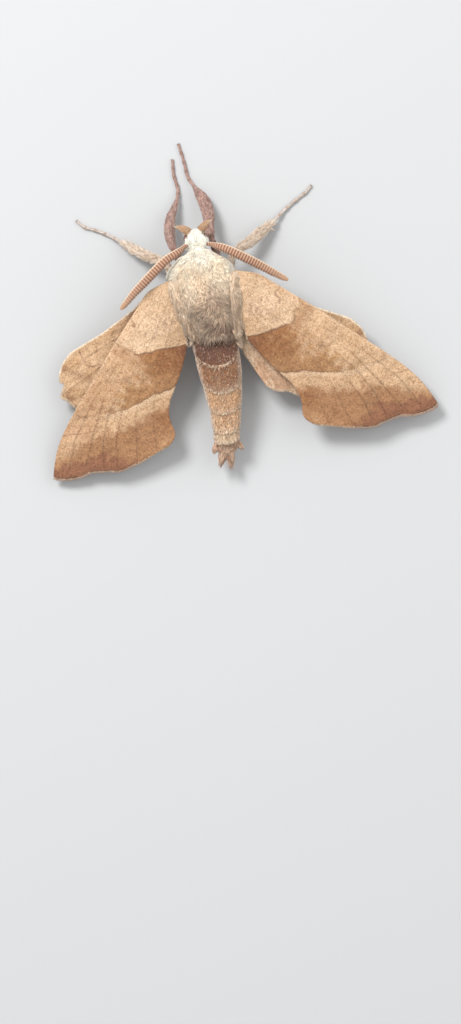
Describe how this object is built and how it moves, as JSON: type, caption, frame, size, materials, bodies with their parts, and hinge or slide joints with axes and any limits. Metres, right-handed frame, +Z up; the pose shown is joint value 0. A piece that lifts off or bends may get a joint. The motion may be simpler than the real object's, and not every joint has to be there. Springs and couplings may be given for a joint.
{
  "type": "walnut sphinx moth model",
  "caption": "Life-size still model of a resting walnut sphinx moth, wings half spread, feathery feelers, standing on its own feet.",
  "frame": {"origin": "middle of the footprint on the floor, under the moth", "axes": "+X to the moth's right, +Y to its head along the body, +Z up from the floor"},
  "size_m": [0.0474, 0.04, 0.0092],
  "materials": {
    "fur": "dense cream and tan hair scales",
    "wing": "matte buff and brown scales with fine dark speckle",
    "abdomen": "short tan fur banded purplish brown and cream",
    "antenna": "cream shaft with reddish brown combs",
    "eye": "dark reddish brown, finely faceted, soft gloss",
    "palp": "short orange tan scales",
    "foreleg": "mauve brown scales",
    "leg": "pinkish cream scales with dark speckle"
  },
  "bodies": {
    "root": {"thorax": "fur", "abdomen": "abdomen", "tail_tuft": "abdomen", "head": "fur", "eye_left": "eye", "eye_right": "eye", "palp_left": "palp", "palp_right": "palp", "antenna_left": "antenna", "antenna_right": "antenna", "forewing_left": "wing", "forewing_right": "wing", "hindwing_left": "wing", "hindwing_right": "wing", "thigh_fore_left": "foreleg", "shin_fore_left": "foreleg", "foot_fore_left": "foreleg", "thigh_fore_right": "foreleg", "shin_fore_right": "foreleg", "foot_fore_right": "foreleg", "thigh_mid_left": "leg", "shin_mid_left": "leg", "foot_mid_left": "leg", "thigh_mid_right": "leg", "shin_mid_right": "leg", "foot_mid_right": "leg", "thigh_hind_left": "leg", "shin_hind_left": "leg", "foot_hind_left": "leg", "thigh_hind_right": "leg", "shin_hind_right": "leg", "foot_hind_right": "leg"}
  },
  "joints": []
}
